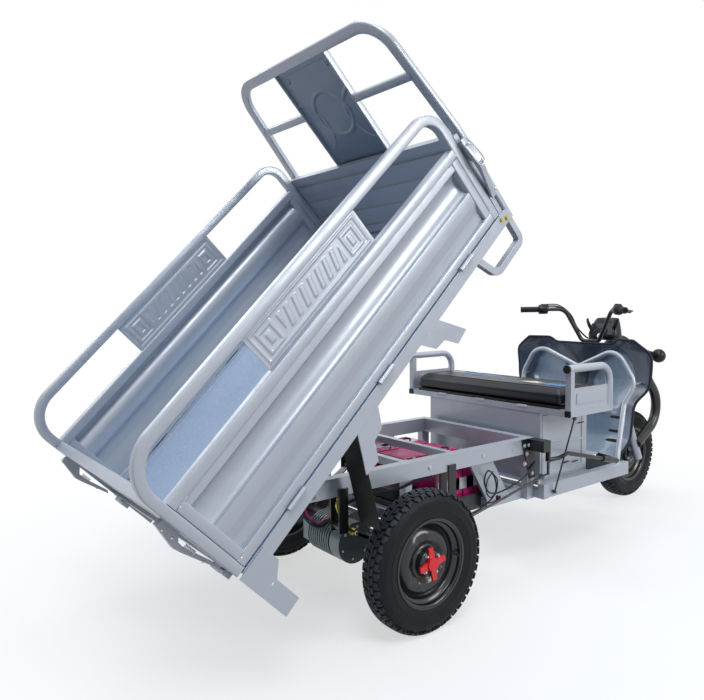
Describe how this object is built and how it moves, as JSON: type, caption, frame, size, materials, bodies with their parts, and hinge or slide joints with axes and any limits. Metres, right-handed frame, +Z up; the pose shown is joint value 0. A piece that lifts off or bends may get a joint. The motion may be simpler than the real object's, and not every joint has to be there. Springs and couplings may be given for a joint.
{
  "type": "electric cargo tricycle with tipping bed",
  "caption": "Electric cargo tricycle with a tipping load bed, drop side boards and tailgate, bench seat with arm rests, leg shield and handlebar steering.",
  "frame": {"origin": "on the ground, at the middle of the length and width, with the bed tipped", "axes": "+X forward, +Y to the left, +Z up"},
  "size_m": [3.3967, 1.132, 2.0953],
  "materials": {
    "alloy": "cast",
    "battery_plastic": "gloss",
    "black_plastic": "fine grain",
    "black_steel": "black paint",
    "chrome_bar": "polished",
    "red_plastic": "gloss",
    "rubber": "matt",
    "seat_vinyl": "satin vinyl",
    "shield_plastic": "gloss",
    "silver": "satin silver-grey powder coat",
    "tyre": "matt rubber"
  },
  "bodies": {
    "chassis": {"chassis_frame": "silver", "floor_frame": "silver", "floor_mat": "rubber", "battery_tray": "black_steel", "batteries": "battery_plastic", "controller_box": "black_plastic", "seat_box": "silver", "seat_frame": "silver", "leg_shield": "shield_plastic", "shield_guard_tube": "silver", "steering_head": "silver", "rear_axle": "black_steel", "drive_motor": "alloy", "leaf_springs": "black_steel", "parking_brake": "black_steel", "brake_lines": "black_steel"},
    "load_bed": {"bed_floor": "silver", "front_board": "silver", "front_hoop": "silver", "bed_side_plates": "silver", "board_hinges": "silver", "bed_handles": "silver", "mud_flaps": "rubber"},
    "right_board": {"right_board_panel": "silver", "right_board_hoop": "silver"},
    "left_board": {"left_board_panel": "silver", "left_board_hoop": "silver"},
    "tailgate": {"tailgate": "silver"},
    "steering": {"fork": "chrome_bar", "handlebar": "chrome_bar", "grips": "rubber", "instrument_cluster": "black_plastic", "headlight": "black_plastic", "signal_lamps": "black_plastic", "front_bumper": "black_plastic"},
    "front_wheel": {"front_tyre": "tyre", "front_rim": "black_steel"},
    "rear_right_wheel": {"rear_right_tyre": "tyre", "rear_right_rim": "black_steel", "rear_right_hub_cap": "red_plastic"},
    "rear_left_wheel": {"rear_left_tyre": "tyre", "rear_left_rim": "black_steel", "rear_left_hub_cap": "red_plastic"},
    "seat": {"seat_board": "black_plastic", "seat_cushion": "seat_vinyl"}
  },
  "joints": [
    {"name": "bed_tilt", "type": "hinge", "parent": "chassis", "child": "load_bed", "pos_m": [-1.15056, 0, 0.54], "axis": [0, 1, 0], "range_deg": [0, 44.6]},
    {"name": "right_board_hinge", "type": "hinge", "parent": "load_bed", "child": "right_board", "pos_m": [-1.40452, -0.539, 0.42439], "axis": [0.712, 0, 0.7022], "range_deg": [0, 165]},
    {"name": "left_board_hinge", "type": "hinge", "parent": "load_bed", "child": "left_board", "pos_m": [-1.40452, 0.539, 0.42439], "axis": [-0.712, 0, -0.7022], "range_deg": [0, 165]},
    {"name": "tailgate_hinge", "type": "hinge", "parent": "load_bed", "child": "tailgate", "pos_m": [-1.42302, 0, 0.40755], "axis": [0, -1, 0], "range_deg": [0, 165]},
    {"name": "steering_head_pivot", "type": "hinge", "parent": "chassis", "child": "steering", "pos_m": [1.44344, 0, 0.255], "axis": [-0.454, 0, 0.891], "range_deg": [-40, 40]},
    {"name": "front_wheel_spin", "type": "hinge", "parent": "steering", "child": "front_wheel", "pos_m": [1.44344, 0, 0.255], "axis": [0, 1, 0], "continuous": true},
    {"name": "rear_right_wheel_spin", "type": "hinge", "parent": "chassis", "child": "rear_right_wheel", "pos_m": [-0.65256, -0.469, 0.255], "axis": [0, 1, 0], "continuous": true},
    {"name": "rear_left_wheel_spin", "type": "hinge", "parent": "chassis", "child": "rear_left_wheel", "pos_m": [-0.65256, 0.469, 0.255], "axis": [0, 1, 0], "continuous": true},
    {"name": "seat_lid", "type": "hinge", "parent": "chassis", "child": "seat", "pos_m": [0.49244, 0, 0.702], "axis": [0, 1, 0], "range_deg": [0, 80]}
  ]
}
